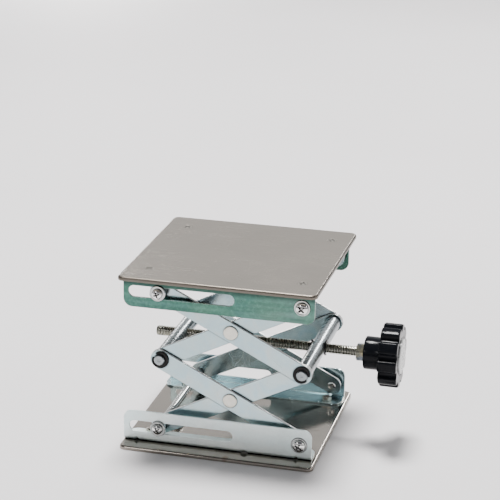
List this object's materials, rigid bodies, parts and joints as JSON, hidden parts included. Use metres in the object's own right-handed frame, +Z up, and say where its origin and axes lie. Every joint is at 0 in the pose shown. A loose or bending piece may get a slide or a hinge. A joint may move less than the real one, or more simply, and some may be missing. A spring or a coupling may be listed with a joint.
{
  "type": "laboratory scissor jack",
  "caption": "Laboratory scissor jack: a square plate raised and lowered on crossed links by a lead screw with a star knob.",
  "frame": {"origin": "centre of the base pan's underside, in the plane it stands on", "axes": "+X along the lead screw towards the knob, +Z up from the base to the top plate, +Y to the rear side"},
  "size_m": [0.2023, 0.15, 0.1387],
  "materials": {
    "stainless": "brushed, slightly reflective",
    "rail_zinc": "pale blue-green zinc plate",
    "link_zinc": "bright zinc plate",
    "rod_steel": "turned and zinc plated",
    "screw_steel": "bright nickel plate",
    "nut_passivated": "yellow passivated zinc",
    "black_oxide": "black oxide",
    "knob_black": "moulded gloss",
    "cap_grey": "moulded, satin"
  },
  "bodies": {
    "base": {"base_plate": "stainless", "base_rail_front": "rail_zinc", "base_rail_rear": "rail_zinc", "base_rail_screws": "screw_steel", "base_rail_nuts": "nut_passivated", "base_pivot_screws": "screw_steel", "base_pivot_washers": "screw_steel", "base_pivot_spacers": "rod_steel"},
    "lower_outer_links": {"lower_outer_link_front": "link_zinc", "lower_outer_link_rear": "link_zinc", "lower_crossing_rivets": "screw_steel"},
    "lower_inner_links": {"lower_inner_link_front": "link_zinc", "lower_inner_link_rear": "link_zinc", "base_slide_axle": "rod_steel", "base_slide_bushes": "rod_steel", "base_slide_screws": "screw_steel"},
    "upper_inner_links": {"upper_inner_link_front": "link_zinc", "upper_inner_link_rear": "link_zinc"},
    "upper_outer_links": {"upper_outer_link_front": "link_zinc", "upper_outer_link_rear": "link_zinc", "upper_crossing_rivets": "screw_steel", "top_slide_axle": "rod_steel", "top_slide_bushes": "rod_steel", "top_slide_screws": "screw_steel"},
    "top_platform": {"top_plate": "stainless", "top_rail_front": "rail_zinc", "top_rail_rear": "rail_zinc", "top_rail_screws": "screw_steel", "top_rail_nuts": "nut_passivated", "top_pivot_screws": "screw_steel", "top_pivot_washers": "screw_steel", "top_pivot_spacers": "rod_steel"},
    "threaded_rod": {"threaded_cross_rod": "rod_steel", "threaded_rod_clips": "black_oxide"},
    "thrust_rod": {"thrust_cross_rod": "rod_steel", "thrust_rod_clips": "black_oxide"},
    "lead_screw": {"lead_screw": "rod_steel", "lead_screw_clips": "black_oxide", "knob_lock_nut": "nut_passivated", "knob": "knob_black", "knob_cap": "cap_grey"}
  },
  "joints": [
    {"name": "lower_outer_pivot", "type": "hinge", "parent": "base", "child": "lower_outer_links", "pos_m": [0.062, 0, 0.0149], "axis": [0, 1, 0], "range_deg": [-19.17, 35.9]},
    {"name": "lower_crossing_pivot", "type": "hinge", "parent": "lower_outer_links", "child": "lower_inner_links", "pos_m": [0.00741, 0, 0.04212], "axis": [0, 1, 0], "range_deg": [-71.79, 38.33]},
    {"name": "threaded_rod_pivot", "type": "hinge", "parent": "lower_outer_links", "child": "threaded_rod", "pos_m": [-0.04718, 0, 0.06934], "axis": [0, 1, 0], "range_deg": [-35.9, 19.17]},
    {"name": "upper_inner_pivot", "type": "hinge", "parent": "lower_outer_links", "child": "upper_inner_links", "pos_m": [-0.04718, 0, 0.06934], "axis": [0, 1, 0], "range_deg": [-71.79, 38.33]},
    {"name": "thrust_rod_pivot", "type": "hinge", "parent": "lower_inner_links", "child": "thrust_rod", "pos_m": [0.062, 0, 0.06934], "axis": [0, 1, 0], "range_deg": [-19.17, 35.9]},
    {"name": "upper_outer_pivot", "type": "hinge", "parent": "lower_inner_links", "child": "upper_outer_links", "pos_m": [0.062, 0, 0.06934], "axis": [0, 1, 0], "range_deg": [-38.33, 71.79]},
    {"name": "top_platform_pivot", "type": "hinge", "parent": "upper_inner_links", "child": "top_platform", "pos_m": [0.062, 0, 0.12377], "axis": [0, 1, 0], "range_deg": [-19.17, 35.9]},
    {"name": "knob_turn", "type": "hinge", "parent": "thrust_rod", "child": "lead_screw", "pos_m": [0.062, 0, 0.06934], "axis": [-1, 0, 0], "range_deg": [-6459.1, 12100.7]}
  ],
  "couplings": [
    {"joint": "lower_outer_pivot", "follows": "knob_turn", "ratio": 0.0029653},
    {"joint": "lower_crossing_pivot", "follows": "knob_turn", "ratio": -0.0059307},
    {"joint": "threaded_rod_pivot", "follows": "knob_turn", "ratio": -0.0029653},
    {"joint": "upper_inner_pivot", "follows": "knob_turn", "ratio": -0.0059307},
    {"joint": "thrust_rod_pivot", "follows": "knob_turn", "ratio": 0.0029653},
    {"joint": "upper_outer_pivot", "follows": "knob_turn", "ratio": 0.0059307},
    {"joint": "top_platform_pivot", "follows": "knob_turn", "ratio": 0.0029653}
  ]
}
